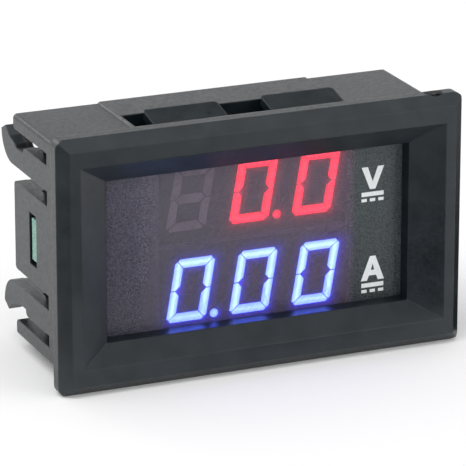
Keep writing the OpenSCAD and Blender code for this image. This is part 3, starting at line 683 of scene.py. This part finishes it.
FLOOR_REACH = 3000
FLOOR_TONE = (0.9, 0.9, 0.9)
FLOOR_LIFT = 0.1               # brings the lit floor to a strength of 1, which is white
FLAG_TONE = (0.003, 0.003, 0.003)
FLAG_ABOVE = 0.5               # the floor
LOW_FLAGS = {                  # corners in X and Y
    "left": ((-29, -5), (-29, -16), (-60, -50), (-400, -300), (-400, -60)),
    "front": ((0, -9), (22, -11), (21, -32), (8, -60), (-18, -92), (-68, -96), (-31, -52),
              (-10, -34)),
    "right": ((25, -4), (400, 40), (400, 260), (25, 8))}
HIGH_FLAGS = {
    "back": ((30, 230, 130), (200, 170, 130), (160, 120, 260), (0, 190, 260)),
    "high": ((20, -190, 190), (200, -150, 190), (190, -110, 250), (10, -150, 250))}
WORLD_LIGHT = 0.75
LAMPS = (                      # name, place, width and power in watts
    ("key", (-250, -100, 550), 400, 1.3),
    ("fill", (500, -500, 300), 500, 0.8),
    ("rim", (-190, 520, 230), 160, 0.2))
CAMERA_AT = (-158.62, -364.92, 133.85)
CAMERA_LOOKS = (0.3722, 0.8722, -0.3174)
LENS = 295.8
SENSOR_W = 36


def sees_white(tree):
    """1 for the rays that should meet the white background: the camera's, and gloss and glass."""
    path = tree.nodes.new("ShaderNodeLightPath")
    total = path.outputs["Is Camera Ray"]
    for name in ("Is Glossy Ray", "Is Transmission Ray"):
        add = tree.nodes.new("ShaderNodeMath")
        add.operation = "ADD"
        add.use_clamp = True
        tree.links.new(total, add.inputs[0])
        tree.links.new(path.outputs[name], add.inputs[1])
        total = add.outputs[0]
    return total


def paper(name, colour, lift):
    """Paper lit by the scene. lift is added to what the camera, gloss and glass see of it."""
    material = bpy.data.materials.new(name)
    material.use_nodes = True
    tree = material.node_tree
    tree.nodes.clear()
    output = tree.nodes.new("ShaderNodeOutputMaterial")
    diffuse = tree.nodes.new("ShaderNodeBsdfDiffuse")
    diffuse.inputs["Color"].default_value = (*colour, 1)
    light = tree.nodes.new("ShaderNodeEmission")
    both = tree.nodes.new("ShaderNodeAddShader")
    scaled = tree.nodes.new("ShaderNodeMath")
    scaled.operation = "MULTIPLY"
    scaled.inputs[1].default_value = lift
    tree.links.new(sees_white(tree), scaled.inputs[0])
    tree.links.new(scaled.outputs[0], light.inputs["Strength"])
    tree.links.new(diffuse.outputs[0], both.inputs[0])
    tree.links.new(light.outputs[0], both.inputs[1])
    tree.links.new(both.outputs[0], output.inputs["Surface"])
    return material


def card(name, corners, material):
    """A flat piece of the stage through corners in millimetres."""
    mesh = bpy.data.meshes.new(name)
    mesh.from_pydata([mm(*corner) for corner in corners], [], [tuple(range(len(corners)))])
    mesh.materials.append(material)
    piece = bpy.data.objects.new(name, mesh)
    bpy.context.scene.collection.objects.link(piece)
    return piece


def flag(name, corners):
    """A black card that only gloss sees, as a photographer's flag beside the set."""
    piece = card(name, corners, paper("flag_" + name, FLAG_TONE, 0.0))
    piece.visible_camera = False
    piece.visible_diffuse = False
    piece.visible_shadow = False
    piece.visible_transmission = False


def build_stage():
    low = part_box("housing")[0].z / MM
    sheet = rectangle(-FLOOR_REACH, FLOOR_REACH, -FLOOR_REACH, FLOOR_REACH)
    card("floor", [(x, y, low) for x, y in sheet], paper("white_paper", FLOOR_TONE, FLOOR_LIFT))
    for name, corners in LOW_FLAGS.items():
        flag(name, [(x, y, low + FLAG_ABOVE) for x, y in corners])
    for name, corners in HIGH_FLAGS.items():
        flag(name, corners)


def build_world():
    """Plain light all round, which the camera, gloss and glass see as white."""
    world = bpy.data.worlds.new("studio")
    bpy.context.scene.world = world
    world.use_nodes = True
    tree = world.node_tree
    tree.nodes.clear()
    output = tree.nodes.new("ShaderNodeOutputWorld")
    mix = tree.nodes.new("ShaderNodeMixShader")
    tree.links.new(sees_white(tree), mix.inputs["Fac"])
    for socket, strength in ((mix.inputs[1], WORLD_LIGHT), (mix.inputs[2], 1.0)):
        background = tree.nodes.new("ShaderNodeBackground")
        background.inputs["Color"].default_value = (1, 1, 1, 1)
        background.inputs["Strength"].default_value = strength
        tree.links.new(background.outputs[0], socket)
    tree.links.new(mix.outputs[0], output.inputs["Surface"])


def build_lamp(name, place, width, power):
    """A square soft lamp that points at the meter."""
    data = bpy.data.lights.new(name, "AREA")
    data.size = mm(width)
    data.energy = power
    lamp = bpy.data.objects.new(name, data)
    lamp.location = mm(*place)
    lamp.rotation_euler = (-Vector(place)).to_track_quat("-Z", "Y").to_euler()
    bpy.context.scene.collection.objects.link(lamp)


def build_camera():
    data = bpy.data.cameras.new("camera")
    data.sensor_width = SENSOR_W
    data.lens = LENS
    camera = bpy.data.objects.new("camera", data)
    camera.location = mm(*CAMERA_AT)
    camera.rotation_euler = Vector(CAMERA_LOOKS).to_track_quat("-Z", "Y").to_euler()
    bpy.context.scene.collection.objects.link(camera)
    bpy.context.scene.camera = camera


build_stage()
build_world()
for lamp_name, lamp_place, lamp_width, lamp_power in LAMPS:
    build_lamp(lamp_name, lamp_place, lamp_width, lamp_power)
build_camera()
bpy.context.scene.view_settings.view_transform = "Standard"
